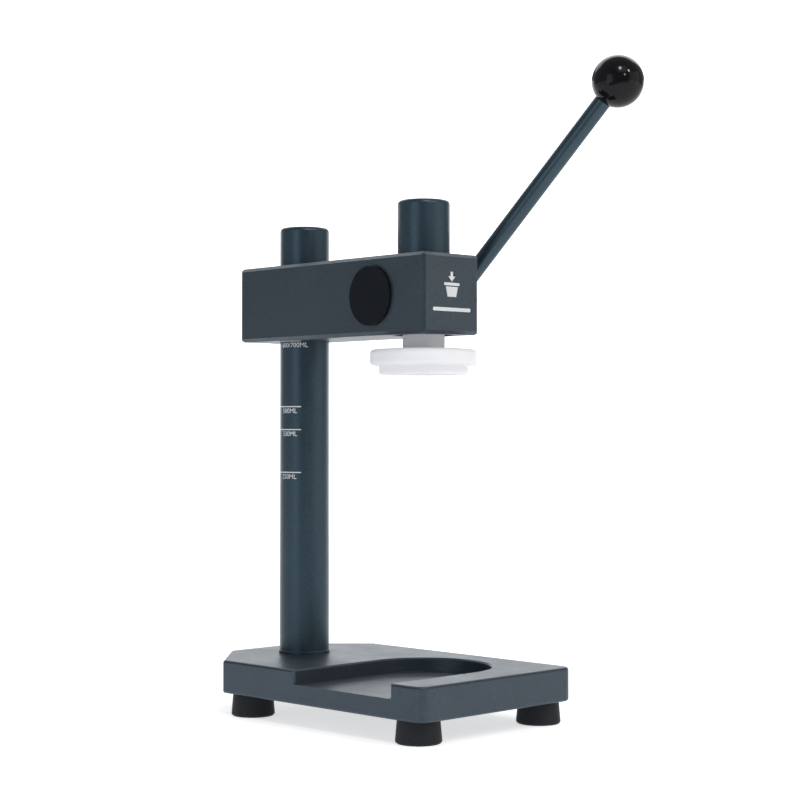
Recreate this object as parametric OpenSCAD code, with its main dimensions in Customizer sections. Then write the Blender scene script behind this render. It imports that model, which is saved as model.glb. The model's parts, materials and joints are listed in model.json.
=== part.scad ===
// Hand-lever cup sealing press: flat base with a cup pocket, round column,
// sliding head block, rack-cut ram, pinion shaft with return spring, lever.
// Units are millimetres. +Z is up, -Y is the front, +X is the lever side.
// The origin is the point where the press axis meets the pocket floor.

/* [Base] */
// Width of the base plate, left to right.
base_w = 144.4; // [135:0.1:200]
// Distance from the press axis forward to the front edge of the base.
base_front = 64.3; // [60:0.1:90]
// Distance from the column axis back to the rear edge of the base.
base_back = 42.5; // [40:0.5:80]
// Thickness of the base plate.
base_t = 22.5; // [20:0.5:32]
// Angle of the base about the column, seen from above, relative to the head.
base_turn = 2.2; // [-5:0.1:5]
// Radius that rounds over the outer edges of the base.
base_round = 1.8; // [0.8:0.1:3]
// Radius of the two front vertical corners of the base.
base_corner_r = 8; // [5:0.5:12]
// Length cut from each rear corner along the side.
base_corner_cut = 40; // [20:1:42]
// Radius of the cup pocket, which opens through the left side.
pocket_r = 45.2; // [36:0.1:47]
// Depth of the cup pocket below the base top.
pocket_depth = 9.5; // [6:0.5:10.5]
// Distance of the pocket centre behind the press axis, along the base.
pocket_back = 8.7; // [0:0.1:10]
// Distance of the pocket centre from the base centre line, to the lever side.
pocket_side = 4.5; // [0:0.1:8]
// Chamfer around the rim of the pocket.
pocket_chamfer = 1; // [0.5:0.1:2]
// Width of the shallow ramp along the foot of the pocket wall.
ramp_w = 1; // [0.5:0.1:1.5]

/* [Column] */
// Diameter of the column.
column_d = 35; // [28:0.5:40]
// Height of the column above the base top.
column_h = 302; // [280:1:420]
// Distance from the press axis back to the column axis.
throat = 124.5; // [110:0.5:170]
// Radius that rounds the top rim of the column.
column_round = 3; // [0.5:0.5:5]
// Depth of the column seat in the base.
column_seat = 8; // [6:0.5:9]

/* [Head block] */
// Width of the head block, left to right.
head_w = 51; // [51:0.5:70]
// Height of the head block.
head_h = 53; // [53:0.5:80]
// Distance from the press axis forward to the front face of the block.
head_front = 27; // [25:0.5:40]
// Distance from the column axis back to the rear face of the block.
head_back = 42.5; // [38:0.5:60]
// Chamfer on every outer edge of the block.
head_chamfer = 2.3; // [1:0.1:4]
// Clear height from the base top to the underside of the block.
head_gap = 221; // [150:1:240]

/* [Ram] */
// Diameter of the ram.
ram_d = 35; // [32:0.5:38]
// Height of the ram above the block top with the lever up.
ram_above = 36.7; // [32:0.1:60]
// Radius that rounds the top rim of the ram.
ram_round = 3; // [1:0.5:5]

/* [Drive] */
// Module of the rack and pinion teeth.
tooth_module = 1.25; // [1:0.05:1.3]
// Number of teeth on the pinion.
pinion_teeth = 20; // [18:1:20]
// Length of the toothed part of the pinion.
pinion_l = 22; // [14:1:24]
// Depth of the rack pitch line below the ram surface.
rack_depth = 6; // [4:0.5:7]
// Diameter of the pinion shaft in its two bearings.
shaft_d = 12; // [10:0.5:13]
// Travel of the lever from its upper stop, in degrees.
lever_travel = 105; // [60:5:120]

/* [Lever] */
// Diameter of the lever rod.
rod_d = 11.8; // [10:0.2:13]
// Distance from the shaft axis to the centre of the ball.
lever_len = 187; // [140:1:260]
// Angle of the lever above the horizontal, seen from the side.
lever_rise = 51.7; // [20:0.1:70]
// Angle at which the lever leans out, away from the block.
lever_lean = 13.8; // [5:0.1:15]
// Diameter of the ball at the end of the lever.
ball_d = 35; // [25:0.5:45]
// Diameter of the hub that holds the lever.
hub_d = 28; // [26:0.5:36]
// Distance along the shaft from the hub's inner face to the lever.
hub_reach = 22.2; // [14:0.1:30]
// Length of the hub beyond the lever.
hub_end = 11.5; // [10:0.5:20]

/* [Press head] */
// Diameter of the press disc.
disc_d = 71.7; // [60:0.1:90]
// Thickness of the press disc.
disc_t = 10.9; // [10:0.1:16]
// Diameter of the lower step of the press head.
step_d = 59.8; // [50:0.1:59.8]
// Height of the lower step of the press head.
step_t = 5.9; // [4:0.1:8]
// Diameter of the stem between the press disc and the ram.
stem_d = 28.2; // [22:0.1:30]
// Length of stem that shows below the block.
stem_gap = 9.4; // [4:0.1:16]

/* [Feet] */
// Diameter of each foot where it meets the base.
foot_top_d = 27.4; // [20:0.1:27.5]
// Diameter of each foot near the floor.
foot_floor_d = 29.8; // [24:0.1:30]
// Height of each foot.
foot_h = 15.1; // [12:0.1:30]
// Distance of each foot centre in from the side of the base.
foot_inset = 15.5; // [14.8:0.1:20]
// Distance of the front foot centres in from the front edge.
foot_front = 17.6; // [15:0.1:20]
// Distance of the rear foot centres ahead of the column axis.
foot_ahead = 11; // [6:0.5:30]

/* [Clearances] */
// Radial running clearance of the ram, the column and the shaft.
run_clear = 0.05; // [0.02:0.01:0.1]
// Gap between parts that pass each other without touching.
side_clear = 0.3; // [0.3:0.05:0.5]
// Clearance on each flank of the meshing teeth.
tooth_clear = 0.06; // [0.04:0.01:0.1]

/* [Hidden] */
$fn = 72;
cut = 1;

// Heights.
base_top = pocket_depth;
base_bottom = base_top - base_t;
head_bottom = base_top + head_gap;
head_top = head_bottom + head_h;
head_mid = (head_bottom + head_top) / 2;
disc_top = head_bottom - stem_gap;
disc_bottom = disc_top - disc_t;
press_face = disc_bottom - step_t;
ram_bottom = head_bottom + 2;
ram_top = head_top + ram_above;

// Teeth.
ram_r = ram_d / 2;
pitch_r = tooth_module * pinion_teeth / 2;
tip_r = pitch_r + tooth_module;
root_r = pitch_r - 1.25 * tooth_module;
tooth_pitch = PI * tooth_module;
pressure_angle = 20;
rack_line = ram_r - rack_depth;
rack_tip = rack_line + tooth_module;
rack_root = rack_line - 1.25 * tooth_module;
pinion_y = rack_line + pitch_r;
stroke = pitch_r * lever_travel * PI / 180;

// Cross bores of the block, along X.
ram_bore_r = ram_r + run_clear;
mesh_bore_r = tip_r + side_clear + 0.05;
cavity_r = mesh_bore_r + 3.9;
spigot_wall = 1.5;
carrier_x = sqrt(pow(ram_r, 2) - pow(pinion_y - mesh_bore_r, 2)) + side_clear;
cavity_x = sqrt(pow(ram_bore_r, 2) - pow(pinion_y - cavity_r, 2)) + 0.5;
pinion_x = pinion_l / 2;
nose_r = pitch_r - tooth_module - 0.75;
bush_r = shaft_d / 2 + 3;
bush_flange_r = bush_r + 3;
bush_flange_t = 1.5;
shaft_r = shaft_d / 2;
arbor_r = shaft_r - 1;

// Ram bushes and guide screw.
ram_bush_r = ram_r + 2.5;
ram_bush_l = 10;
guide_r = 4;
dog_r = 2.5;
dog_depth = 2.4;

// Return spring.
strip_t = 0.6;
coil_turns = 4;
coil_r = arbor_r + side_clear + strip_t / 2;
coil_end_r = cavity_r - 4;
coil_pitch = (coil_end_r - coil_r) / coil_turns;
anchor_r = 1.2;
anchor_reach = coil_end_r + strip_t / 2 + anchor_r;

// Side cap.
cap_r = cavity_r + 2.3;
cap_t = 2.2;
spigot_l = 1.8;

// Hub and lever.
hub_x = head_w / 2 + bush_flange_t + side_clear;
rod_x = hub_x + hub_reach;
hub_out = rod_x + hub_end;
hub_r = hub_d / 2;
rod_seat = hub_r - 1.6;
rod_thread_r = 5;
nut_af = 16;
nut_t = 5;
ball_r = ball_d / 2;
ball_flat = ball_r - 1.6;
insert_r = 6.2;
insert_l = 15;
stud_r = 4;
hub_pin_r = 2;
hub_pin_x = hub_x + 8;

// Rise of the ramp in the pocket, for each millimetre of its width.
ramp_slope = 0.4;

// Base fasteners.
column_r = column_d / 2;
bolt_r = 5;
bolt_head_r = 8;
bolt_head_t = 6;
bolt_washer_r = 9.5;
bolt_washer_t = 2;
bolt_pocket_t = bolt_head_t + bolt_washer_t + 0.5;
bolt_grip = 20;
collar_t = 0.7;
collar_h = 2;
foot_screw_r = 2.5;
foot_screw_l = 9;
foot_recess_r = 7;
foot_recess_t = 8;
foot_washer_t = 1.2;
foot_x = base_w / 2 - foot_inset;
foot_front_y = -base_front + foot_front;
foot_back_y = throat - foot_ahead;

// Clamp of the head on the column.
slit_w = 2;
clamp_r = 3;
clamp_head_r = 5;
clamp_head_t = 6;
clamp_washer_r = 6;
clamp_washer_t = 1.4;
clamp_pocket_t = 9;
clamp_y = throat + column_r + (head_back - column_r) / 2;
clamp_spread = head_h / 4;

// Press head screw.
press_screw_r = 4;
press_screw_head_r = 6.5;
press_screw_head_t = 5;
press_washer_r = 7;
press_washer_t = 1.6;
tab_recess_r = 22;
tab_recess_t = 1.5;
press_pocket_t = 8.5;
press_screw_grip = 18;

anodised = [0.24, 0.29, 0.33];
dark_metal = [0.16, 0.22, 0.25];
steel = [0.62, 0.63, 0.65];
bronze = [0.66, 0.48, 0.26];
black_plastic = [0.06, 0.06, 0.07];
black_rubber = [0.09, 0.09, 0.10];
white_plastic = [0.92, 0.92, 0.91];

// Rectangle with rounded corners, centred.
module round_rect(w, h, r) {
    square([w - 2 * r, h], center = true);
    square([w, h - 2 * r], center = true);
    for (x = [-1, 1], y = [-1, 1])
        translate([x * (w / 2 - r), y * (h / 2 - r)])
            circle(r = r);
}

// Rectangle with chamfered corners, centred.
module chamfer_rect(w, h, c) {
    a = w / 2;
    b = h / 2;
    polygon([[-a, -b + c], [-a + c, -b], [a - c, -b], [a, -b + c],
        [a, b - c], [a - c, b], [-a + c, b], [-a, b - c]]);
}

// Extrusion of a profile in Y and Z along X, centred.
module bar_x(l) {
    rotate([90, 0, 90])
        linear_extrude(height = l, center = true)
            children();
}

// Extrusion of a profile in X and Z along Y, centred.
module bar_y(l) {
    rotate([90, 0, 0])
        linear_extrude(height = l, center = true)
            children();
}

// Half profile of a turned disc with rounded outer edges.
module disc_profile(r, h, e) {
    square([r - e, h]);
    translate([0, e])
        square([r, h - 2 * e]);
    for (z = [e, h - e])
        translate([r - e, z])
            circle(r = e);
}

// Cylinder along X from one position to another.
module rod_x(r, x0, x1) {
    translate([x0, 0, 0])
        rotate([0, 90, 0])
            cylinder(r = r, h = x1 - x0);
}

// Cylinder on Z with bevels at its two ends.
module bevel_rod(r, h, low, high) {
    rotate_extrude()
        polygon([[0, 0], [r - low, 0], [r, low], [r, h - high], [r - high, h], [0, h]]);
}

// Cylinder on Z with a bevel at its lower end and a rounded upper rim.
module round_rod(r, h, low, e) {
    rotate_extrude() {
        polygon([[0, 0], [r - low, 0], [r, low], [r, h - e], [0, h - e]]);
        translate([0, low])
            square([r - e, h - low]);
        translate([r - e, h - e])
            circle(r = e);
    }
}

// Flat ring on Z.
module ring(r, bore, h) {
    difference() {
        cylinder(r = r, h = h);
        translate([0, 0, -cut])
            cylinder(r = bore, h = h + 2 * cut);
    }
}

// Socket-head screw on Z: head below zero, shank above zero.
module socket_screw(r, l, head_r, head_t) {
    difference() {
        union() {
            cylinder(r = r, h = l - 0.6);
            translate([0, 0, l - 0.6])
                cylinder(r1 = r, r2 = r - 0.6, h = 0.6);
            translate([0, 0, -head_t])
                bevel_rod(head_r, head_t, 0.5, 0.2);
        }
        translate([0, 0, -head_t - cut])
            cylinder(r = head_r * 0.58, h = head_t * 0.6 + cut, $fn = 6);
    }
}

// Children of the base group, turned about the column.
module on_base() {
    translate([0, throat, 0])
        rotate([0, 0, base_turn])
            translate([0, -throat, 0])
                children();
}

// Children placed on the pinion axis, at head height.
module at_pinion() {
    translate([0, pinion_y, head_mid])
        children();
}

// Children placed along the lever, with Z on the lever axis.
module along_lever() {
    at_pinion()
        translate([rod_x, 0, 0])
            rotate([90 - lever_rise, 0, 0])
                rotate([0, lever_lean, 0])
                    children();
}

module at_feet() {
    for (x = [-foot_x, foot_x], y = [foot_front_y, foot_back_y])
        translate([x, y, base_bottom])
            children();
}

// Outer form of the base, rounded over on its top and bottom edges.
module base_blank() {
    length = base_front + throat + base_back;
    mid_y = (throat + base_back - base_front) / 2;
    mid_z = base_top - base_t / 2;
    difference() {
        intersection() {
            translate([0, mid_y, mid_z])
                bar_x(base_w + 2 * cut)
                    round_rect(length, base_t, base_round);
            translate([0, mid_y, mid_z])
                bar_y(length + 2 * cut)
                    round_rect(base_w, base_t, base_round);
            rear_corner_limit(-1, mid_z);
            rear_corner_limit(1, mid_z);
        }
        for (s = [-1, 1])
            front_corner_waste(s, mid_z - base_t / 2);
    }
}

// Slab whose chamfered edge lies along a rear corner cut.
module rear_corner_limit(s, mid_z) {
    wide = 4 * (base_front + throat + base_back);
    translate([s * base_w / 2, throat + base_back - base_corner_cut, mid_z])
        rotate([0, 0, s * 45])
            translate([-s * wide / 2, 0, 0])
                bar_y(wide)
                    chamfer_rect(wide, base_t, 0.6 * base_round);
}

// Material outside a rounded front corner.
module front_corner_waste(s, low) {
    r = base_corner_r;
    translate([s * (base_w / 2 - r), -base_front + r, low])
        difference() {
            translate([s > 0 ? 0 : -r - cut, -r - cut, -cut])
                cube([r + cut, r + cut, base_t + 2 * cut]);
            rotate_extrude()
                intersection() {
                    disc_profile(r, base_t, base_round);
                    square([r, base_t]);
                }
        }
}

// Space of the cup pocket, with its chamfered rim, out through the left side.
module pocket_space() {
    r = pocket_r;
    c = pocket_chamfer;
    d = pocket_depth;
    w = ramp_w;
    h = ramp_slope * ramp_w;
    reach = base_w / 2 + pocket_side + cut;
    translate([pocket_side, pocket_back, 0]) {
        translate([-reach / 2, 0, 0])
            bar_x(reach)
                polygon([[-r + w, 0], [r - w, 0], [r, h], [r, d - c], [r + c + cut, d + cut],
                    [-r - c - cut, d + cut], [-r, d - c], [-r, h]]);
        rotate_extrude()
            polygon([[0, 0], [r - w, 0], [r, h], [r, d - c], [r + c + cut, d + cut],
                [0, d + cut]]);
        for (s = [-1, 1])
            translate([-base_w / 2 - pocket_side, s * r, 0])
                rotate([0, 0, 45])
                    translate([-c, -c, 0])
                        cube([2 * c, 2 * c, d + cut]);
    }
}

module base_plate() {
    color(anodised)
        on_base() difference() {
            base_blank();
            pocket_space();
            translate([0, throat, base_top - column_seat])
                cylinder(r = column_r + run_clear, h = column_seat + cut);
            translate([0, throat, base_bottom - cut])
                cylinder(r = bolt_r + 0.5, h = base_t + cut);
            translate([0, throat, base_bottom - cut])
                cylinder(r = bolt_washer_r + 0.5, h = bolt_pocket_t + cut);
            at_feet()
                translate([0, 0, -cut])
                    cylinder(r = foot_screw_r, h = foot_screw_l + 1 + cut);
        }
}

module column() {
    color(dark_metal)
        translate([0, throat, base_top - column_seat])
            difference() {
                round_rod(column_r, column_h + column_seat, 0.5, column_round);
                translate([0, 0, -cut])
                    cylinder(r = bolt_r, h = bolt_grip + 4 + cut);
            }
}

module column_collar() {
    color(dark_metal)
        translate([0, throat, base_top])
            difference() {
                bevel_rod(column_r + collar_t, collar_h, 0.1, 0.4);
                translate([0, 0, -cut])
                    cylinder(r = column_r, h = collar_h + 2 * cut);
            }
}

module column_bolt() {
    web = base_t - column_seat - bolt_pocket_t;
    color(steel)
        translate([0, throat, base_bottom + bolt_pocket_t - bolt_washer_t])
            socket_screw(bolt_r, bolt_washer_t + web + bolt_grip, bolt_head_r, bolt_head_t);
}

module column_washer() {
    color(steel)
        translate([0, throat, base_bottom + bolt_pocket_t - bolt_washer_t])
            ring(bolt_washer_r, bolt_r, bolt_washer_t);
}

// Four rubber feet, each a cone with a screw recess from below.
module feet() {
    lip = 1.4;
    top = foot_top_d / 2;
    low = foot_floor_d / 2;
    color(black_rubber)
        on_base() at_feet()
            translate([0, 0, -foot_h])
                rotate_extrude()
                    polygon([[foot_recess_r, 0], [low - lip, 0], [low - 0.4 * lip, 0.4 * lip],
                        [low, lip], [top, foot_h], [foot_screw_r, foot_h],
                        [foot_screw_r, foot_recess_t], [foot_recess_r, foot_recess_t]]);
}

module foot_washers() {
    color(steel)
        on_base() at_feet()
            translate([0, 0, foot_recess_t - foot_h - foot_washer_t])
                ring(foot_recess_r - 0.6, foot_screw_r, foot_washer_t);
}

module foot_screws() {
    grip = foot_h - foot_recess_t + foot_washer_t;
    color(steel)
        on_base() at_feet()
            translate([0, 0, -grip])
                socket_screw(foot_screw_r, grip + foot_screw_l, 4.6, 3);
}

// Block with its two upright bores, cross bores, clamp slit and screw holes.
module head_block() {
    length = head_front + throat + head_back;
    mid_y = (throat + head_back - head_front) / 2;
    long = length + 2 * cut;
    color(anodised)
        difference() {
            translate([0, mid_y, head_mid])
                intersection() {
                    bar_x(head_w)
                        chamfer_rect(length, head_h, head_chamfer);
                    bar_y(length)
                        chamfer_rect(head_w, head_h, head_chamfer);
                    linear_extrude(height = head_h, center = true)
                        chamfer_rect(head_w, length, head_chamfer);
                }
            upright_bore(0, ram_bore_r);
            for (z = [head_bottom - cut, head_top - ram_bush_l])
                translate([0, 0, z])
                    cylinder(r = ram_bush_r, h = ram_bush_l + cut);
            upright_bore(throat, column_r + run_clear);
            for (z = [head_bottom - cut, head_top - 1])
                translate([0, throat, z])
                    cylinder(r1 = column_r + (z < head_mid ? 2 : 0),
                        r2 = column_r + (z < head_mid ? 0 : 2), h = 2);
            translate([-slit_w / 2, throat, head_bottom - cut])
                cube([slit_w, long, head_h + 2 * cut]);
            at_pinion() {
                rod_x(cavity_r, -head_w / 2 - cut, -cavity_x);
                rod_x(mesh_bore_r, -cavity_x - cut, pinion_x + side_clear);
                rod_x(bush_r, 0, head_w / 2 + cut);
                translate([0, anchor_reach, 0])
                    rod_x(anchor_r, -cavity_x - cut, -cavity_x + 1.5);
            }
            translate([0, 0, head_mid])
                rod_x(guide_r, 0, head_w / 2 + cut);
            for (s = [-1, 1])
                translate([0, clamp_y, head_mid + s * clamp_spread])
                    clamp_hole();
        }
}

module upright_bore(y, r) {
    translate([0, y, head_bottom - cut])
        cylinder(r = r, h = head_h + 2 * cut);
}

module clamp_hole() {
    rod_x(clamp_r, -head_w / 2 + 6, 0);
    rod_x(clamp_r + 0.4, 0, head_w / 2 + cut);
    rod_x(clamp_washer_r + 0.3, head_w / 2 - clamp_pocket_t, head_w / 2 + cut);
}

// Two plain bushes that guide the ram.
module ram_bushes() {
    color(bronze)
        for (z = [head_bottom, head_top - ram_bush_l])
            translate([0, 0, z])
                ring(ram_bush_r, ram_bore_r, ram_bush_l);
}

// Set screw whose dog runs in the slot of the ram and stops its travel.
module guide_screw() {
    inner = ram_r + 0.5;
    outer = head_w / 2 - 1;
    color(steel)
        translate([0, 0, head_mid])
            difference() {
                union() {
                    rod_x(guide_r, inner, outer);
                    rod_x(dog_r, ram_r - dog_depth, inner + cut);
                }
                translate([outer - 3, 0, 0])
                    rotate([0, 90, 0])
                        cylinder(r = 2.2, h = 4, $fn = 6);
            }
}

// Two screws that draw the slit together around the column.
module clamp_screws() {
    seat = head_w / 2 - clamp_pocket_t + clamp_washer_t;
    color(steel)
        for (s = [-1, 1])
            translate([seat, clamp_y, head_mid + s * clamp_spread])
                rotate([0, -90, 0])
                    socket_screw(clamp_r, seat + head_w / 2 - 8, clamp_head_r, clamp_head_t);
}

module clamp_washers() {
    color(steel)
        for (s = [-1, 1])
            translate([head_w / 2 - clamp_pocket_t, clamp_y, head_mid + s * clamp_spread])
                rotate([0, 90, 0])
                    ring(clamp_washer_r, clamp_r, clamp_washer_t);
}

// Left bearing of the pinion shaft.
module pinion_carrier() {
    color(bronze)
        at_pinion()
            difference() {
                union() {
                    rod_x(mesh_bore_r, -cavity_x, -carrier_x);
                    rod_x(nose_r, -carrier_x - cut, -pinion_x - side_clear);
                }
                rod_x(shaft_r + run_clear, -cavity_x - cut, 0);
            }
}

// Right bearing of the pinion shaft.
module pinion_bush() {
    color(bronze)
        at_pinion()
            difference() {
                union() {
                    rod_x(bush_r, pinion_x + side_clear, head_w / 2);
                    rod_x(bush_flange_r, head_w / 2, head_w / 2 + bush_flange_t);
                }
                rod_x(shaft_r + run_clear, 0, head_w);
            }
}

// Half turn of spring strip with its bend axis on X.
module strip_half(r, w, shift, turn) {
    translate([0, shift, 0])
        rotate([turn, 0, 0])
            rotate([90, 0, 90])
                rotate_extrude(angle = 180)
                    translate([r - strip_t / 2, 0])
                        square([strip_t, w]);
}

// Flat spiral spring in the cavity behind the side cap.
module return_spring() {
    low = -head_w / 2 + spigot_l + side_clear;
    w = head_w / 2 - cavity_x - spigot_l - 2 * side_clear;
    color(steel)
        at_pinion()
            translate([low, 0, 0]) {
                for (k = [0 : coil_turns])
                    strip_half(coil_r + k * coil_pitch, w, 0, 180);
                for (k = [0 : coil_turns - 1])
                    strip_half(coil_r + (k + 0.5) * coil_pitch, w, -coil_pitch / 2, 0);
            }
}

// Pin that holds the outer end of the spring.
module spring_anchor() {
    color(steel)
        at_pinion()
            translate([0, anchor_reach, 0])
                rod_x(anchor_r, -head_w / 2 + spigot_l + side_clear, -cavity_x + 1.5);
}

module side_cap() {
    color(black_plastic)
        at_pinion()
            translate([-head_w / 2 + spigot_l, 0, 0])
                rotate([0, -90, 0])
                    difference() {
                        union() {
                            cylinder(r = cavity_r, h = spigot_l);
                            translate([0, 0, spigot_l])
                                bevel_rod(cap_r, cap_t, 0.1, 0.6);
                        }
                        translate([0, 0, -cut])
                            cylinder(r = cavity_r - spigot_wall, h = spigot_l + cut);
                    }
}

// Gaps between the rack teeth, across the ram.
module rack_gaps() {
    slope = tan(pressure_angle);
    half = tooth_pitch / 4 + tooth_clear;
    tip = half + (tooth_module + cut) * slope;
    root = half - 1.25 * tooth_module * slope;
    up = ceil(stroke / tooth_pitch) + 2;
    for (k = [-2 : up])
        translate([0, 0, head_mid + k * tooth_pitch])
            bar_x(2 * ram_d)
                polygon([[rack_root, -root], [rack_tip + cut, -tip],
                    [rack_tip + cut, tip], [rack_root, root]]);
}

module ram() {
    low = head_mid - tip_r + 0.5;
    high = head_mid + stroke + tip_r + 0.2;
    slot_r = dog_r + side_clear;
    slot_h = stroke + side_clear;
    color(dark_metal)
        difference() {
            translate([0, 0, ram_bottom])
                round_rod(ram_r, ram_top - ram_bottom, 0.5, ram_round);
            translate([-ram_d, rack_tip, low])
                cube([2 * ram_d, ram_d, high - low]);
            rack_gaps();
            translate([ram_r - dog_depth - side_clear, 0, head_mid]) {
                rod_x(slot_r, 0, ram_r);
                translate([0, -slot_r, 0])
                    cube([ram_r, 2 * slot_r, slot_h]);
                translate([0, 0, slot_h])
                    rod_x(slot_r, 0, ram_r);
            }
            translate([0, 0, ram_bottom - cut])
                cylinder(r = press_screw_r, h = press_screw_grip + 3 + cut);
        }
}

// White press head: stem, disc and lower step, with a recess for a lid tab.
module press_head() {
    stem_l = ram_bottom - disc_top;
    color(white_plastic)
        difference() {
            rotate_extrude()
                intersection() {
                    union() {
                        translate([0, press_face])
                            disc_profile(step_d / 2, step_t + 4, 2);
                        translate([0, disc_bottom])
                            disc_profile(disc_d / 2, disc_t, 3);
                        translate([0, disc_top - cut])
                            square([stem_d / 2, stem_l + cut]);
                    }
                    square([disc_d, ram_bottom]);
                }
            translate([0, 0, press_face - cut])
                cylinder(r = tab_recess_r, h = tab_recess_t + cut);
            translate([0, 0, press_face])
                cylinder(r = press_washer_r + 0.3, h = tab_recess_t + press_pocket_t);
            translate([0, 0, press_face])
                cylinder(r = press_screw_r + 0.5, h = ram_bottom);
        }
}

module press_screw() {
    seat = press_face + tab_recess_t + press_pocket_t - press_washer_t;
    color(steel)
        translate([0, 0, seat])
            socket_screw(press_screw_r, ram_bottom - seat + press_screw_grip,
                press_screw_head_r, press_screw_head_t);
}

module press_washer() {
    color(steel)
        translate([0, 0, press_face + tab_recess_t + press_pocket_t - press_washer_t])
            ring(press_washer_r, press_screw_r, press_washer_t);
}

// Involute angle, in degrees, of the flank at a radius.
function roll(r) = let (a = acos(min(1, pitch_r * cos(pressure_angle) / r)))
    tan(a) * 180 / PI - a;

// Half angle of a tooth at a radius, in degrees.
function half_tooth(r) = 90 / pinion_teeth - tooth_clear / pitch_r * 180 / PI
    + roll(pitch_r) - roll(r);

function spoke(r, a) = [r * cos(a), r * sin(a)];

// Outline of the pinion, with one tooth on the first axis.
module pinion_outline() {
    base_r = pitch_r * cos(pressure_angle);
    steps = 5;
    start_r = max(base_r, root_r);
    flank = [for (i = [0 : steps]) start_r + (tip_r - start_r) * i / steps];
    polygon([for (k = [0 : pinion_teeth - 1])
        let (a = k * 360 / pinion_teeth)
            each concat([spoke(root_r, a - half_tooth(start_r))],
                [for (i = [0 : steps]) spoke(flank[i], a - half_tooth(flank[i]))],
                [for (i = [steps : -1 : 0]) spoke(flank[i], a + half_tooth(flank[i]))],
                [spoke(root_r, a + half_tooth(start_r))])]);
}

module pinion_shaft() {
    right_end = hub_out - side_clear;
    color(steel)
        at_pinion()
            difference() {
                union() {
                    bar_x(pinion_l)
                        rotate([0, 0, 180])
                            pinion_outline();
                    rod_x(shaft_r, -cavity_x, right_end);
                    rod_x(arbor_r, -head_w / 2 + spigot_l + side_clear, -cavity_x + cut);
                }
                translate([-head_w / 2, -0.4, -shaft_r])
                    cube([head_w / 2 - cavity_x - side_clear, 0.8, shaft_d]);
                rod_x(3, right_end - 16, right_end + cut);
                translate([hub_pin_x, 0, -shaft_d])
                    cylinder(r = hub_pin_r, h = 2 * shaft_d);
            }
}

// Hub with a cross hole for its pin and a leaning seat for the lever rod.
module lever_hub() {
    length = hub_out - hub_x;
    color(dark_metal)
        difference() {
            at_pinion()
                translate([hub_x, 0, 0])
                    rotate([0, 90, 0])
                        bevel_rod(hub_r, length, 1, 1);
            at_pinion()
                rod_x(shaft_r, hub_x - cut, hub_out + cut);
            at_pinion()
                translate([hub_pin_x, 0, -hub_d])
                    cylinder(r = hub_pin_r, h = 2 * hub_d);
            along_lever()
                cylinder(r = rod_thread_r, h = hub_d);
            along_lever()
                translate([0, 0, rod_seat])
                    cylinder(r = nut_af * 0.6 + 0.3, h = hub_d);
        }
}

module hub_pin() {
    color(steel)
        at_pinion()
            translate([hub_pin_x, 0, -hub_r + 0.4])
                cylinder(r = hub_pin_r, h = hub_d - 0.8);
}

module hub_washer() {
    color(steel)
        at_pinion()
            translate([hub_out, 0, 0])
                rotate([0, 90, 0])
                    ring(hub_r - 4, 3, 1.6);
}

module hub_screw() {
    color(steel)
        at_pinion()
            translate([hub_out + 1.6, 0, 0])
                rotate([0, -90, 0])
                    socket_screw(3, 14, 5, 3.4);
}

// Rod with a threaded root, a plain body and a stud for the ball.
module lever_rod() {
    root = shaft_r + rod_thread_r * tan(lever_lean) + side_clear;
    body_start = rod_seat + nut_t;
    body_end = lever_len - ball_flat;
    color(dark_metal)
        along_lever() {
            translate([0, 0, root])
                cylinder(r = rod_thread_r, h = body_start - root + cut);
            translate([0, 0, body_start])
                bevel_rod(rod_d / 2, body_end - body_start, 0.6, 0.6);
            translate([0, 0, body_end - cut])
                cylinder(r = stud_r, h = insert_l - 1 + cut);
        }
}

module rod_nut() {
    color(dark_metal)
        along_lever()
            translate([0, 0, rod_seat])
                difference() {
                    cylinder(r = nut_af / sqrt(3), h = nut_t, $fn = 6);
                    translate([0, 0, -cut])
                        cylinder(r = rod_thread_r, h = nut_t + 2 * cut);
                }
}

module ball_insert() {
    color(bronze)
        along_lever()
            translate([0, 0, lever_len - ball_flat])
                difference() {
                    cylinder(r = insert_r, h = insert_l);
                    translate([0, 0, -cut])
                        cylinder(r = stud_r, h = insert_l + 2 * cut);
                }
}

module ball_knob() {
    color(black_plastic)
        along_lever()
            translate([0, 0, lever_len])
                difference() {
                    sphere(r = ball_r);
                    translate([-ball_d, -ball_d, -ball_flat - ball_d])
                        cube([2 * ball_d, 2 * ball_d, ball_d]);
                    translate([0, 0, -ball_flat - cut])
                        cylinder(r = insert_r, h = insert_l + cut);
                }
}

base_plate();
column();
column_collar();
column_bolt();
column_washer();
feet();
foot_screws();
foot_washers();
head_block();
ram_bushes();
guide_screw();
clamp_screws();
clamp_washers();
pinion_carrier();
pinion_bush();
return_spring();
spring_anchor();
side_cap();
ram();
press_head();
press_screw();
press_washer();
pinion_shaft();
lever_hub();
hub_pin();
hub_screw();
hub_washer();
lever_rod();
rod_nut();
ball_insert();
ball_knob();
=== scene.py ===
"""Looks of the cup sealing machine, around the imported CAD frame.

Materials for the CAD pieces, the printed marks, the studio and the camera. Lengths are in metres.
"""

import json
import math

import bmesh
import bpy
from mathutils import Matrix, Vector


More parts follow.
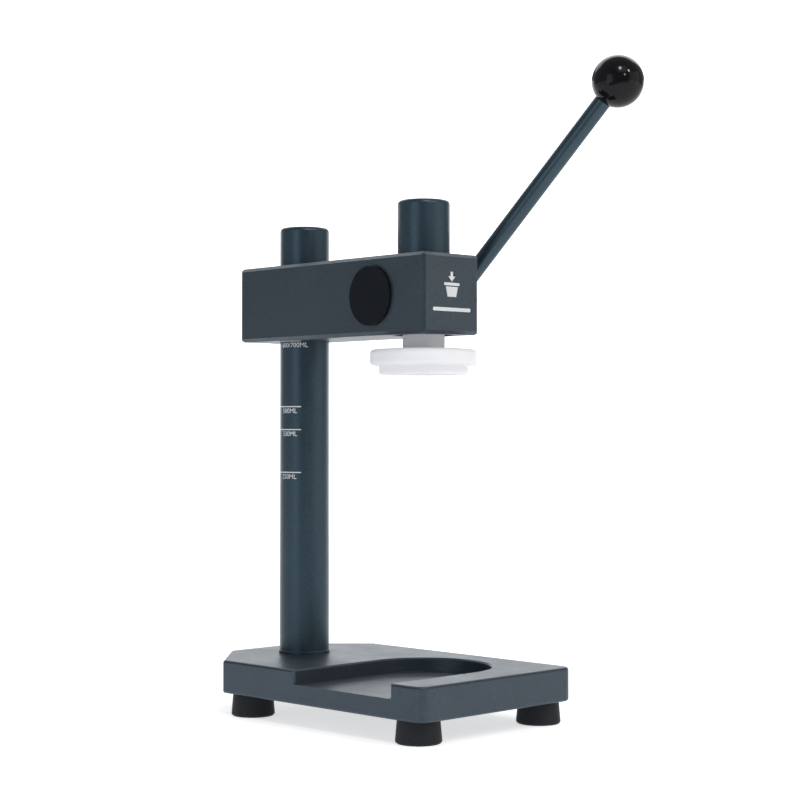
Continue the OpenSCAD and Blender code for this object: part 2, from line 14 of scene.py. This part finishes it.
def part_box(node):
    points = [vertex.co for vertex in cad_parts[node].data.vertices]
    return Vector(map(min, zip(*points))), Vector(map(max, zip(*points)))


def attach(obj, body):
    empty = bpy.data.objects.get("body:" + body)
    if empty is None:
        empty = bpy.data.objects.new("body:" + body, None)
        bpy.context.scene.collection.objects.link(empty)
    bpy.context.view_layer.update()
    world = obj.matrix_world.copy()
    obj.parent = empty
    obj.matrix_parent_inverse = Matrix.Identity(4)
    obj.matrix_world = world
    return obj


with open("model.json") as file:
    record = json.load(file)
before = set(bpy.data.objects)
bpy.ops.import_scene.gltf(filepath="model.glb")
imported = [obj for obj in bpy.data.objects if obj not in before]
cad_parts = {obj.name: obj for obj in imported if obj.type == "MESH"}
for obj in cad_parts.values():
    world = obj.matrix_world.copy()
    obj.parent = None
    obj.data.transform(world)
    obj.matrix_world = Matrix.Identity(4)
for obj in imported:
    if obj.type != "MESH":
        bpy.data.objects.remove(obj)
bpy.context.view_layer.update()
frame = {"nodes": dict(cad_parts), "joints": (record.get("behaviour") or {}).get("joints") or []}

MM = 0.001
nodes = frame["nodes"]


def centre(node):
    """The centre of a CAD node's box."""
    lo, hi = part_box(node)
    return (lo + hi) / 2


def pivot(joint):
    """A point on a joint's axis."""
    return Vector(next(j["pos_m"] for j in frame["joints"] if j["name"] == joint))


# Places worked out from the frame, whose origin is on the press axis.
column_axis = pivot("head_swing")
column_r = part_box("column")[1].x - column_axis.x
press_axis = Vector((0, 0, 0))
block_lo, block_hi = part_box("head_block")
block_mid = (block_lo + block_hi) / 2
floor_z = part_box("feet")[0].z
lever_pivot = pivot("lever_turn")
hub_axis = Vector((1, 0, 0))
ball_centre = centre("ball_knob")
HUB_END = 11.5 * MM  # from the lever's axis to the outer end of the hub
rod_foot = Vector((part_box("lever_hub")[1].x - HUB_END, lever_pivot.y, lever_pivot.z))
rod_axis = (ball_centre - rod_foot).normalized()


# ---------------------------------------------------------------- materials
class Shader:
    """A node material on one Principled shader, with the coordinates of the CAD frame."""

    def __init__(self, name, **constants):
        self.material = bpy.data.materials.new(name)
        self.material.use_nodes = True
        self.tree = self.material.node_tree
        self.tree.nodes.clear()
        self.output = self.add("ShaderNodeOutputMaterial")
        self.bsdf = self.add("ShaderNodeBsdfPrincipled")
        self.link(self.bsdf.outputs["BSDF"], self.output.inputs["Surface"])
        self.place = self.add("ShaderNodeTexCoord").outputs["Object"]
        for socket, value in constants.items():
            self.bsdf.inputs[socket.replace("_", " ")].default_value = value
        self.height = None

    def add(self, kind, **settings):
        node = self.tree.nodes.new(kind)
        for key, value in settings.items():
            setattr(node, key, value)
        return node

    def link(self, a, b):
        self.tree.links.new(a, b)

    def put(self, socket, value):
        """Links an output, or sets a number or vector."""
        if isinstance(value, bpy.types.NodeSocket):
            self.link(value, socket)
        else:
            socket.default_value = value

    def math(self, operation, a, b=0.0, clamp=False):
        node = self.add("ShaderNodeMath", operation=operation, use_clamp=clamp)
        self.put(node.inputs[0], a)
        self.put(node.inputs[1], b)
        return node.outputs[0]

    def vector(self, operation, a, b=(0, 0, 0), out="Vector"):
        node = self.add("ShaderNodeVectorMath", operation=operation)
        self.put(node.inputs[0], a)
        self.put(node.inputs[1], b)
        return node.outputs[out]

    def noise(self, scale, detail=2.0, roughness=0.5, where=None):
        """Noise with its features 1/scale metres apart, from 0 to 1."""
        node = self.add("ShaderNodeTexNoise")
        self.link(where or self.place, node.inputs["Vector"])
        node.inputs["Scale"].default_value = scale
        node.inputs["Detail"].default_value = detail
        node.inputs["Roughness"].default_value = roughness
        return node.outputs["Fac"]

    def band(self, value, low, high, out_low=0.0, out_high=1.0):
        """Maps low..high onto out_low..out_high, and holds what lies outside."""
        node = self.add("ShaderNodeMapRange")
        self.put(node.inputs["Value"], value)
        ends = {"From Min": low, "From Max": high, "To Min": out_low, "To Max": out_high}
        for socket, number in ends.items():
            node.inputs[socket].default_value = number
        return node.outputs["Result"]

    def spread(self, noise, out_low, out_high):
        """Maps the range that holds most of a noise's values onto out_low..out_high."""
        return self.band(noise, 0.3, 0.7, out_low, out_high)

    def mix(self, factor, a, b):
        """A blend of two colours, each a node's output or three numbers."""
        node = self.add("ShaderNodeMix", data_type="RGBA")
        self.put(node.inputs[0], factor)
        self.put(node.inputs[6], a if isinstance(a, bpy.types.NodeSocket) else (*a, 1))
        self.put(node.inputs[7], b if isinstance(b, bpy.types.NodeSocket) else (*b, 1))
        return node.outputs[2]

    def scaled(self, colour, factor):
        """A colour, brighter or darker by a factor from a node."""
        node = self.add("ShaderNodeVectorMath", operation="SCALE")
        self.put(node.inputs[0], colour)
        self.put(node.inputs["Scale"], factor)
        return node.outputs[0]

    def turned(self, point, axis, along=0.02):
        """Coordinates that hardly change round an axis: distance from it, and distance along it."""
        p = self.vector("SUBTRACT", self.place, tuple(point))
        reach = self.vector("LENGTH", self.vector("CROSS_PRODUCT", p, tuple(axis)), out="Value")
        run = self.vector("DOT_PRODUCT", p, tuple(axis), out="Value")
        node = self.add("ShaderNodeCombineXYZ")
        self.link(reach, node.inputs[0])
        self.link(run, node.inputs[2])
        drift = self.vector("MULTIPLY", self.place, (along,) * 3)
        return self.vector("ADD", node.outputs[0], drift)

    def edge(self, radius, low=0.02, high=0.25):
        """1 on convex and concave edges within radius, 0 on flats."""
        bevel = self.add("ShaderNodeBevel", samples=4)
        bevel.inputs["Radius"].default_value = radius
        normal = self.add("ShaderNodeNewGeometry").outputs["Normal"]
        facing = self.vector("DOT_PRODUCT", bevel.outputs[0], normal, out="Value")
        return self.band(self.math("SUBTRACT", 1.0, facing), low, high)

    def bump(self, height, distance, strength=1.0):
        """Adds relief on top of what the material has already."""
        node = self.add("ShaderNodeBump")
        node.inputs["Distance"].default_value = distance
        node.inputs["Strength"].default_value = strength
        self.link(height, node.inputs["Height"])
        if self.height is not None:
            self.link(self.height, node.inputs["Normal"])
        self.height = node.outputs[0]

    def done(self, colour=None, roughness=None):
        """Links the colour, the roughness and the relief, and returns the material."""
        if colour is not None:
            self.link(colour, self.bsdf.inputs["Base Color"])
        if roughness is not None:
            self.link(roughness, self.bsdf.inputs["Roughness"])
        if self.height is not None:
            self.link(self.height, self.bsdf.inputs["Normal"])
        return self.material


def anodised(name, colour, rough, turned=None, grain=0.28):
    """Dyed anodising over bead-blasted aluminium; a bar also keeps faint turning rings."""
    s = Shader(name, Metallic=0.7)
    speckle = s.noise(1500, 3, 0.7)
    cloud = s.noise(26, 3, 0.55)
    smear = s.noise(45, 4, 0.6)
    chips = s.band(s.noise(420, 3, 0.65), 0.42, 0.62)

    level = s.math("ADD", s.spread(speckle, -grain, grain), s.spread(cloud, 0.95, 1.05))
    other_dye = tuple(c * f for c, f in zip(colour, (0.94, 1.02, 1.05)))
    base = s.scaled(s.mix(s.noise(60, 2), colour, other_dye), level)
    wear = s.math("MULTIPLY", s.edge(0.7 * MM), chips, clamp=True)
    base = s.mix(s.math("MULTIPLY", wear, 0.45), base, BARE_METAL)

    roughness = s.math("ADD", s.spread(smear, rough - 0.035, rough + 0.035),
                       s.spread(speckle, -0.03, 0.03))
    s.bump(speckle, 0.02 * MM, 0.5)
    if turned:
        rings = s.noise(1500, 2, 0.7, s.turned(*turned))
        s.bump(rings, 0.012 * MM, 0.35)
    return s.done(base, roughness)


def machined_steel(name, colour, rough, point, axis):
    """Turned steel with fine rings round its own axis and a few rubbed spots."""
    s = Shader(name, Metallic=1.0)
    rings = s.noise(2200, 2, 0.7, s.turned(point, axis))
    stain = s.noise(180, 4, 0.6)
    level = s.math("ADD", s.spread(rings, -0.08, 0.08), s.spread(stain, 0.9, 1.08))
    rubbed = tuple(min(1, c * 1.6 + 0.05) for c in colour)
    base = s.mix(s.math("MULTIPLY", s.edge(0.4 * MM), 0.35), s.scaled(colour, level), rubbed)
    s.bump(rings, 0.01 * MM, 0.5)
    return s.done(base, s.spread(stain, rough - 0.05, rough + 0.07))


def moulded(name, colour, rough, grain, depth, variation=0.05, **constants):
    """Moulded or turned plastic and rubber: fine grain, slight unevenness, paler scuffed edges."""
    s = Shader(name, **constants)
    texture = s.noise(grain, 3, 0.6)
    patch = s.noise(38, 3, 0.5)
    smear = s.noise(95, 4, 0.6)
    scuffs = s.band(s.noise(500, 3), 0.45, 0.65, 0, 0.5)

    scuffed = tuple(min(1, c * 1.25 + 0.012) for c in colour)
    base = s.scaled(colour, s.spread(patch, 1 - variation, 1 + variation))
    base = s.mix(s.math("MULTIPLY", s.edge(0.5 * MM), scuffs, clamp=True), base, scuffed)
    s.bump(texture, depth, 0.6)
    return s.done(base, s.spread(smear, rough - 0.04, rough + 0.05))


BLOCK_TEAL = (0.052, 0.068, 0.086)
BAR_TEAL = (0.036, 0.060, 0.080)
ROD_TEAL = (0.040, 0.064, 0.082)
BARE_METAL = (0.30, 0.33, 0.36)
BLACK_STEEL = (0.045, 0.050, 0.055)
ZINC = (0.60, 0.61, 0.63)
BRONZE = (0.52, 0.34, 0.16)
Z = Vector((0, 0, 1))

block_finish = anodised("anodised_block_look", BLOCK_TEAL, 0.40)
column_finish = anodised("anodised_column_look", BAR_TEAL, 0.36, (column_axis, Z))
ram_finish = anodised("anodised_ram_look", BAR_TEAL, 0.36, (press_axis, Z))
rod_finish = anodised("blackened_rod_look", ROD_TEAL, 0.30, (rod_foot, rod_axis), grain=0.04)
hub_finish = machined_steel("black_steel_look", BLACK_STEEL, 0.34, lever_pivot, hub_axis)
zinc_upright = machined_steel("zinc_look_z", ZINC, 0.30, column_axis, Z)
zinc_cross = machined_steel("zinc_look_x", ZINC, 0.30, lever_pivot, hub_axis)
bronze = machined_steel("bronze_look", BRONZE, 0.42, lever_pivot, hub_axis)
gloss = moulded("gloss_ball_look", (0.004, 0.004, 0.005), 0.11, 900, 0.004 * MM, 0.1,
                Specular_IOR_Level=0.2)
cap_finish = moulded("cap_look", (0.004, 0.006, 0.009), 0.5, 2600, 0.02 * MM, 0.06,
                     Specular_IOR_Level=0.1)
rubber = moulded("foot_rubber_look", (0.010, 0.012, 0.016), 0.62, 1900, 0.05 * MM, 0.12,
                 Specular_IOR_Level=0.25)
white = moulded("white_plastic_look", (0.80, 0.808, 0.84), 0.46, 1500, 0.015 * MM, 0.012,
                Subsurface_Weight=0.25, Subsurface_Scale=0.004)
ink = moulded("print_look", (0.62, 0.64, 0.66), 0.55, 2600, 0.01 * MM, 0.06)

LOOKS = {
    "base_plate": block_finish, "head_block": block_finish,
    "column": column_finish, "column_collar": column_finish, "ram": ram_finish,
    "lever_rod": rod_finish, "rod_nut": hub_finish, "lever_hub": hub_finish,
    "return_spring": hub_finish, "guide_screw": hub_finish, "clamp_screws": hub_finish,
    "pinion_carrier": bronze, "pinion_bush": bronze, "ball_insert": bronze,
    "ram_bushes": cap_finish, "side_cap": cap_finish,
    "ball_knob": gloss, "feet": rubber, "press_head": white,
    "pinion_shaft": zinc_cross, "hub_screw": zinc_cross, "hub_washer": zinc_cross,
}
for name, node in nodes.items():
    look = LOOKS.get(name, zinc_upright)
    for slot in node.material_slots:
        slot.material = look


# ---------------------------------------------------------------- printed marks
def outline_mesh(outlines):
    """A flat triangulated mesh in the XY plane from closed outlines of (x, y) points."""
    bm = bmesh.new()
    for points in outlines:
        bm.faces.new([bm.verts.new((x, y, 0)) for x, y in points])
    bmesh.ops.triangulate(bm, faces=bm.faces[:])
    return bm


def text_mesh(words, height):
    """Flat letters with a cap height, centred on the origin of the XY plane."""
    curve = bpy.data.curves.new("lettering", "FONT")
    curve.body = words
    curve.align_x = "CENTER"
    curve.resolution_u = 6
    holder = bpy.data.objects.new("lettering", curve)
    bpy.context.scene.collection.objects.link(holder)
    graph = bpy.context.evaluated_depsgraph_get()
    mesh = bpy.data.meshes.new_from_object(holder.evaluated_get(graph))
    bpy.data.objects.remove(holder)
    top = max(v.co.y for v in mesh.vertices)
    mesh.transform(Matrix.Scale(height / top, 4))
    bm = bmesh.new()
    bm.from_mesh(mesh)
    bpy.data.meshes.remove(mesh)
    return bm


def bar(width, height, x=0.0, y=0.0):
    """The outline of a bar centred on (x, y), with clipped corners."""
    w, h, c = width / 2, height / 2, min(width, height) * 0.28
    return [(x - w + c, y - h), (x + w - c, y - h), (x + w, y - h + c), (x + w, y + h - c),
            (x + w - c, y + h), (x - w + c, y + h), (x - w, y + h - c), (x - w, y - h + c)]


def printed(name, bm, shape, body):
    """A thin closed layer of ink; shape(x, y, lift) puts each point of the flat mesh in place."""
    bmesh.ops.remove_doubles(bm, verts=bm.verts[:], dist=1e-6)
    made = bmesh.ops.extrude_face_region(bm, geom=bm.faces[:])
    raised = {v for v in made["geom"] if isinstance(v, bmesh.types.BMVert)}
    for v in bm.verts:
        v.co = shape(v.co.x, v.co.y, INK_TOP if v in raised else INK_FOOT)
    bmesh.ops.recalc_face_normals(bm, faces=bm.faces[:])
    mesh = bpy.data.meshes.new(name)
    bm.to_mesh(mesh)
    bm.free()
    obj = bpy.data.objects.new(name, mesh)
    bpy.context.scene.collection.objects.link(obj)
    mesh.materials.append(ink)
    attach(obj, body)
    return obj


def sliced(bm, step):
    """Cuts a flat mesh into strips along X, so that it can be wrapped."""
    xs = [v.co.x for v in bm.verts]
    x = min(xs) + step
    while x < max(xs):
        everything = bm.verts[:] + bm.edges[:] + bm.faces[:]
        bmesh.ops.bisect_plane(bm, geom=everything, plane_co=(x, 0, 0), plane_no=(1, 0, 0))
        x += step
    return bm


# The ink stands above its surface by less than the running clearance of the block's bore.
INK_TOP = 0.025 * MM
INK_FOOT = -0.06 * MM
MARK_ANGLE = math.radians(188.4)  # where the fill marks are on the column, seen from above
LINE_LENGTH, LINE_WIDTH = 21 * MM, 0.75 * MM
LETTER_HEIGHT = 3.3 * MM
LETTER_DROP = 1.25 * MM  # from the middle of a line to the top of its letters
WRAP_STEP = 0.8 * MM

# Each fill mark: its words, its line's drop below the head's underside at rest, and how far
# its words stand to the right of the line's middle, both in millimetres.
FILL_MARKS = (("600/700ML", 0, 4.5), ("500ML", 46.5, 1), ("330ML", 62.7, 1), ("250ML", 92.9, 0.5))


def round_column(z, shift=0.0):
    """Wraps a flat mark round the column at a height, turned to the right by a shift."""
    def shape(x, y, lift):
        angle = MARK_ANGLE + (x + shift) / column_r
        r = column_r + lift
        return Vector((column_axis.x + r * math.cos(angle),
                       column_axis.y + r * math.sin(angle), z + y))
    return shape


def on_front(cx, cz):
    """Lays a flat mark on the front face of the block."""
    def shape(x, y, lift):
        return Vector((cx + x, block_lo.y - lift, cz + y))
    return shape


# The head's underside is set level with the line of the cup in use.
for words, drop, shift in FILL_MARKS:
    z = block_lo.z - drop * MM
    tag = words[:3]
    line = sliced(outline_mesh([bar(LINE_LENGTH, LINE_WIDTH)]), WRAP_STEP)
    printed(f"mark_line_{tag}", line, round_column(z), "column")
    letters = sliced(text_mesh(words, LETTER_HEIGHT), WRAP_STEP)
    baseline = z - LETTER_DROP - LETTER_HEIGHT
    printed(f"mark_text_{tag}", letters, round_column(baseline, shift * MM), "column")

# A plain pictogram on the front of the block: an arrow pressing a lid onto a cup, over a bar.
SIGN_RISE, SIGN_BAR_DROP = 6 * MM, 10.5 * MM
ARROW = ((-1.1, 8.2), (-1.1, 5.2), (-3.2, 5.2), (0, 1.9), (3.2, 5.2), (1.1, 5.2), (1.1, 8.2))
CUP = ((-5.4, -1.6), (-3.9, -8.2), (3.9, -8.2), (5.4, -1.6))
lid = bar(14 * MM, 1.9 * MM, 0, 0.1 * MM)
sign = [[(x * MM, y * MM) for x, y in outline] for outline in (ARROW, CUP)] + [lid]
printed("sign_cup", outline_mesh(sign), on_front(block_mid.x, block_mid.z + SIGN_RISE), "head")
printed("sign_bar", outline_mesh([bar(34 * MM, 2.4 * MM)]),
        on_front(block_mid.x, block_mid.z - SIGN_BAR_DROP), "head")


# ---------------------------------------------------------------- studio
def turned_to(place, facing):
    """The matrix that puts a flat thing at a place with its +Z towards a direction."""
    turn = Vector(facing).to_track_quat("Z", "Y").to_matrix().to_4x4()
    return Matrix.Translation(place) @ turn


def plane(name, width, depth, place, facing, material):
    """A stage card with its front towards a direction."""
    mesh = bpy.data.meshes.new(name)
    w, d = width / 2, depth / 2
    mesh.from_pydata([(-w, -d, 0), (w, -d, 0), (w, d, 0), (-w, d, 0)], [], [(0, 1, 2, 3)])
    mesh.materials.append(material)
    obj = bpy.data.objects.new(name, mesh)
    obj.matrix_world = turned_to(place, facing)
    bpy.context.scene.collection.objects.link(obj)
    return obj


def lamp(name, width, height, place, target, watts, colour=(1, 1, 1)):
    """A rectangular lamp at a place, facing a target."""
    light = bpy.data.lights.new(name, "AREA")
    light.shape = "RECTANGLE"
    light.size, light.size_y = width, height
    light.energy = watts
    light.color = colour
    obj = bpy.data.objects.new(name, light)
    obj.matrix_world = turned_to(place, place - target)
    obj.visible_camera = False
    bpy.context.scene.collection.objects.link(obj)
    return obj


def glow(shader, colour, strength):
    """Makes a material give off light of its own."""
    shader.bsdf.inputs["Emission Color"].default_value = (*colour, 1)
    shader.bsdf.inputs["Emission Strength"].default_value = strength


paper = Shader("floor_paper", Roughness=0.9)
glow(paper, (1, 1, 1), 0.62)
paper.done(paper.mix(paper.noise(3, 2), (0.78, 0.78, 0.78), (0.80, 0.80, 0.80)))
FLOOR_WIDTH = 30
plane("floor", FLOOR_WIDTH, FLOOR_WIDTH, (0, 0, floor_z), Z, paper.material)

# The camera, found by fitting the straight edges of the block, base and column.
CAMERA_PLACE = (-0.8458, -0.9034, 0.1691)
LENS, SENSOR_WIDTH = 83.77, 36  # millimetres
YAW, PITCH = math.radians(42.384), math.radians(0.854)
ahead = Vector((math.sin(YAW), math.cos(YAW), 0))
right = Vector((math.cos(YAW), -math.sin(YAW), 0))
camera = bpy.data.cameras.new("camera")
camera.sensor_width = SENSOR_WIDTH
camera.lens = LENS
camera.clip_start, camera.clip_end = 0.05, 60
eye = bpy.data.objects.new("camera", camera)
eye.location = CAMERA_PLACE
eye.rotation_euler = (math.pi / 2 + PITCH, 0, -YAW)
bpy.context.scene.collection.objects.link(eye)
bpy.context.scene.camera = eye


def studio(from_right, up, towards_camera):
    """A place in the studio, in metres from the middle of the head block, as the camera sees it."""
    return block_mid + right * from_right - ahead * towards_camera + Z * up


def card(name, width, height, place, colour, strength, rays):
    """A studio card that faces the machine, seen only by the kinds of ray named."""
    look = Shader(name + "_look", Roughness=1.0, Specular_IOR_Level=0)
    glow(look, colour, strength)
    look.done(look.mix(look.noise(40, 2), (0.02, 0.02, 0.02), (0.03, 0.03, 0.03)))
    obj = plane(name, width, height, place, block_mid - place, look.material)
    obj.visible_camera = "camera" in rays
    obj.visible_diffuse = "diffuse" in rays
    obj.visible_glossy = "glossy" in rays
    obj.visible_shadow = False
    return obj


# Dim cards on the camera's side, which only reflections see, darken the middle of the bars.
FLAG_LIFT = 3 * MM
flag = card("flag", 3.0, 2.8, studio(0.1, 0.4, 1.9), (0.9, 0.97, 1), 0.17, ("glossy",))
floor_flag = plane("floor_flag", 1.4, 3, studio(0, 0, 2.3), Z, flag.data.materials[0])
floor_flag.location.z = floor_z + FLAG_LIFT
floor_flag.visible_camera = floor_flag.visible_diffuse = floor_flag.visible_shadow = False
card("backdrop", 4.4, 1.1, studio(0, 0.05, -2.2), (0.95, 0.97, 1), 1.93,
     ("camera", "diffuse", "glossy"))

# A white dome that only the camera sees, so that the air round the machine may be dimmer
# than its background.
DOME_RADIUS = 14
bm = bmesh.new()
bmesh.ops.create_icosphere(bm, subdivisions=3, radius=DOME_RADIUS)
dome_mesh = bpy.data.meshes.new("dome")
bm.to_mesh(dome_mesh)
bm.free()
dome = bpy.data.objects.new("dome", dome_mesh)
dome_look = Shader("dome_look", Roughness=1.0)
glow(dome_look, (1, 1, 1), 1.2)
dome_mesh.materials.append(dome_look.material)
bpy.context.scene.collection.objects.link(dome)
dome.visible_diffuse = dome.visible_glossy = dome.visible_transmission = dome.visible_shadow = False

lamp("top_back_box", 2.6, 0.9, studio(0, 1.35, -1.25), block_mid, 13)
lamp("right_box", 1.5, 1.2, studio(1.65, 0.35, 0.5), block_mid, 3.6, (1, 0.84, 0.69))
lamp("left_strip", 0.9, 1.6, studio(-1.15, 0.1, 1.5), block_mid, 4.5, (0.9, 0.97, 1))

# Three small windows and a soft halo that show as highlights on the ball. Each is set by where
# it shows: its distance to the right of the ball's centre and above it, in ball radii.
HIGHLIGHT_REACH = 1.3
to_eye = (eye.location - ball_centre).normalized()
ball_right = Z.cross(to_eye).normalized()
ball_up = to_eye.cross(ball_right)


def highlight(right_of, above):
    """The place of a light whose mirror image shows at that point of the ball."""
    outward = math.sqrt(1 - right_of ** 2 - above ** 2)
    normal = ball_right * right_of + ball_up * above + to_eye * outward
    return ball_centre + to_eye.reflect(normal) * -HIGHLIGHT_REACH


card("halo", 0.75, 0.6, highlight(0.16, 0.46), (1, 0.97, 1), 1.2, ("glossy",))
for name, right_of, above, width, height, watts in (
        ("spark_high", 0.085, 0.50, 0.16, 0.22, 4.2),
        ("spark_right", 0.405, 0.40, 0.11, 0.20, 2.6),
        ("spark_low", 0.26, 0.26, 0.10, 0.10, 1.1)):
    lamp(name, width, height, highlight(right_of, above), ball_centre, watts)

world = bpy.data.worlds.new("studio_air")
world.use_nodes = True
air = world.node_tree.nodes["Background"].inputs
air["Color"].default_value = (0.93, 0.97, 1, 1)
air["Strength"].default_value = 0.34
bpy.context.scene.world = world
bpy.context.scene.view_settings.view_transform = "Standard"

bpy.context.view_layer.update()
